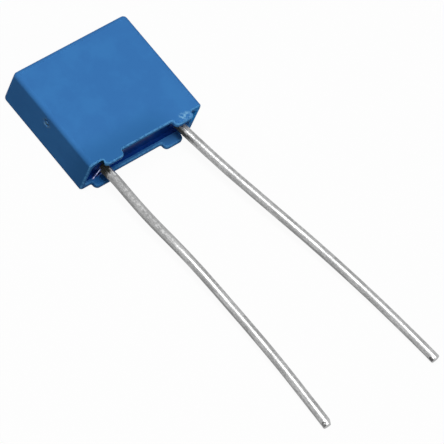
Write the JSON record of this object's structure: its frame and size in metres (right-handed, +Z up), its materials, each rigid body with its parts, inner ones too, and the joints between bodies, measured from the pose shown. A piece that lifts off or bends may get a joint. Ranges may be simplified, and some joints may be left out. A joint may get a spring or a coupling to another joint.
{
  "type": "polyester film capacitor",
  "caption": "Small boxed film capacitor: blue moulded case with stand-off feet, cast resin at its open end, and long, gently bent wire leads.",
  "frame": {"origin": "centre of the broad face that the case lies on, at the middle of its length and of its height from the rim to the closed end", "axes": "+X from the left lead to the right lead, +Y from the leads to the closed end of the case, +Z up, out of the upper broad face"},
  "size_m": [0.0096, 0.0228, 0.0023],
  "materials": {
    "blue_moulding": "satin moulded polyester",
    "cast_resin": "gloss dark blue epoxy",
    "wound_film": "gloss metallised film",
    "sprayed_zinc": "matte sprayed zinc",
    "tinned_wire": "satin tin plating"
  },
  "bodies": {
    "root": {"case": "blue_moulding", "potting_resin": "cast_resin", "film_roll": "wound_film", "contact_left": "sprayed_zinc", "contact_right": "sprayed_zinc", "lead_left": "tinned_wire", "lead_right": "tinned_wire"}
  },
  "joints": []
}
